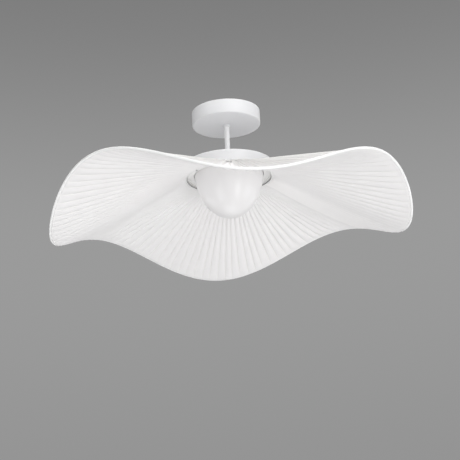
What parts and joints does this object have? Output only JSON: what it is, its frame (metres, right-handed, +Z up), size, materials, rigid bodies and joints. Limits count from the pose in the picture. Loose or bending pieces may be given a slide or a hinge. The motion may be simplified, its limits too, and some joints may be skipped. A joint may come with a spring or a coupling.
{
  "type": "semi-flush ceiling light",
  "caption": "Semi-flush ceiling light: waved pleated fabric shade on a wire frame round an opal glass dome, hung from a round canopy by a short rod",
  "frame": {"origin": "where the rod's axis meets the ceiling, at the centre of the bracket's two slots", "axes": "+Z up along the rod, X along the bracket, -Y towards the side the picture shows"},
  "size_m": [0.6143, 0.6142, 0.2339],
  "materials": {
    "white_paint": "satin white powder coat",
    "white_wire": "white powder coated steel wire",
    "edged_paint": "satin white coat with a dark inner edge",
    "zinc_steel": "bright zinc plate",
    "grub_steel": "black oxide steel",
    "spring_steel": "spring steel strip",
    "terminal_plastic": "moulded nylon",
    "brass_screw": "plain brass",
    "holder_ceramic": "unglazed steatite",
    "bulb_cover": "frosted cover on a white base",
    "pin_metal": "plated pins",
    "opal_glass": "glossy opal white glass",
    "silicone": "translucent white silicone",
    "pleated_fabric": "pleated off-white woven cloth",
    "binding_tape": "white bias tape"
  },
  "bodies": {
    "fixture": {"ceiling_bracket": "zinc_steel", "terminal_block": "terminal_plastic", "terminal_screws": "brass_screw", "terminal_fixing_screw": "zinc_steel", "earth_screw": "zinc_steel", "rod": "white_paint", "hanger_nut": "zinc_steel", "pan_nut": "zinc_steel", "rod_washers": "zinc_steel"},
    "canopy": {"canopy": "white_paint", "canopy_collar": "white_paint", "collar_grub_screw": "grub_steel"},
    "lamp": {"pan": "white_paint", "lamp_plate": "zinc_steel", "plate_screws": "zinc_steel", "holder_screws": "zinc_steel", "clip_rivets": "zinc_steel", "dust_lip": "silicone", "frame_ring": "white_wire", "trim_ring": "edged_paint", "trim_screws": "zinc_steel", "rim_hoop": "white_wire", "rim_binding": "binding_tape", "pleated_shade": "pleated_fabric", "lampholder_1": "holder_ceramic", "lampholder_2": "holder_ceramic", "lampholder_3": "holder_ceramic", "glass_clip_1": "spring_steel", "glass_clip_2": "spring_steel", "glass_clip_3": "spring_steel", "spoke_1": "white_wire", "spoke_2": "white_wire", "spoke_3": "white_wire", "spoke_4": "white_wire", "spoke_5": "white_wire", "spoke_6": "white_wire", "spoke_7": "white_wire", "spoke_8": "white_wire"},
    "dome": {"glass_dome": "opal_glass", "dome_gasket": "silicone"},
    "bulb_1": {"bulb_1": "bulb_cover", "bulb_pins_1": "pin_metal"},
    "bulb_2": {"bulb_2": "bulb_cover", "bulb_pins_2": "pin_metal"},
    "bulb_3": {"bulb_3": "bulb_cover", "bulb_pins_3": "pin_metal"}
  },
  "joints": [
    {"name": "canopy_drop", "type": "slide", "parent": "fixture", "child": "canopy", "axis": [0, 0, -1], "range_m": [0, 0.065]},
    {"name": "shade_swivel", "type": "hinge", "parent": "fixture", "child": "lamp", "pos_m": [0, 0, -0.0985], "axis": [0, 0, 1], "range_deg": [-170, 170]},
    {"name": "dome_drop", "type": "slide", "parent": "lamp", "child": "dome", "axis": [0, 0, -1], "range_m": [0, 0.125]},
    {"name": "bulb_1_pull", "type": "slide", "parent": "lamp", "child": "bulb_1", "axis": [0, 0, -1], "range_m": [0, 0.015]},
    {"name": "bulb_2_pull", "type": "slide", "parent": "lamp", "child": "bulb_2", "axis": [0, 0, -1], "range_m": [0, 0.015]},
    {"name": "bulb_3_pull", "type": "slide", "parent": "lamp", "child": "bulb_3", "axis": [0, 0, -1], "range_m": [0, 0.015]}
  ]
}
